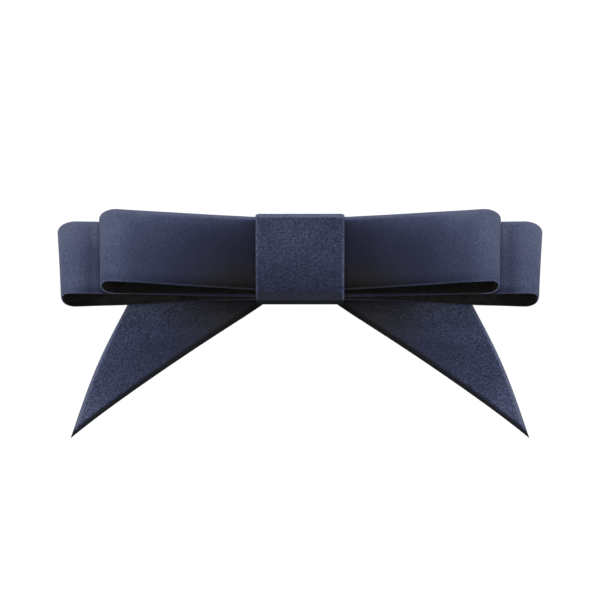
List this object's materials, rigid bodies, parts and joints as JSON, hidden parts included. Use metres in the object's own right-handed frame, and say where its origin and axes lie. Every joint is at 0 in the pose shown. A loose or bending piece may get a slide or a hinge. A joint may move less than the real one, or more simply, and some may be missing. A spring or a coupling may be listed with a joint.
{
  "type": "pre-made gift bow",
  "caption": "Flat tailored gift bow of suede-faced ribbon: two stacked loops, a wrapped knot band, slanting tails and a stick-on foam pad.",
  "frame": {"origin": "centre of the stick-on pad's lower side, on the surface the bow lies on", "axes": "+X along the loops to the right, -Y towards the side the tails point to, +Z out of the bow's face"},
  "size_m": [0.136, 0.0704, 0.0139],
  "materials": {
    "suede_face": "napped suede, matte with a soft sheen",
    "ribbon_backing": "matte woven backing",
    "glue": "translucent hot-melt film",
    "card": "uncoated grey board",
    "pad_adhesive": "tacky acrylic film",
    "foam": "fine closed-cell foam",
    "liner_paper": "silicone-coated paper, satin"
  },
  "bodies": {
    "bow": {"front_loop_face": "suede_face", "front_loop_backing": "ribbon_backing", "rear_loop_face": "suede_face", "rear_loop_backing": "ribbon_backing", "knot_band_face": "suede_face", "knot_band_backing": "ribbon_backing", "left_tail_root_face": "suede_face", "left_tail_root_backing": "ribbon_backing", "right_tail_root_face": "suede_face", "right_tail_root_backing": "ribbon_backing", "front_loop_lap_glue": "glue", "rear_loop_lap_glue": "glue", "loop_stack_glue": "glue", "knot_glue": "glue", "tail_glue": "glue", "card_glue": "glue", "backing_card": "card", "pad_upper_adhesive": "pad_adhesive", "foam_pad": "foam", "pad_lower_adhesive": "pad_adhesive"},
    "left_tail": {"left_tail_face": "suede_face", "left_tail_backing": "ribbon_backing"},
    "right_tail": {"right_tail_face": "suede_face", "right_tail_backing": "ribbon_backing"},
    "liner": {"release_liner": "liner_paper"}
  },
  "joints": [
    {"name": "left_tail_bend", "type": "hinge", "parent": "bow", "child": "left_tail", "pos_m": [-0.0146, -0.01216, 0.00247], "axis": [0.6401, -0.7683, 0], "range_deg": [0, 80], "stiffness_Nm_per_rad": 0.0006},
    {"name": "right_tail_bend", "type": "hinge", "parent": "bow", "child": "right_tail", "pos_m": [0.0146, -0.01216, 0.00247], "axis": [0.6401, 0.7683, 0], "range_deg": [0, 80], "stiffness_Nm_per_rad": 0.0006},
    {"name": "liner_peel", "type": "slide", "parent": "bow", "child": "liner", "axis": [0, 0, -1], "range_m": [0, 0.03]}
  ]
}
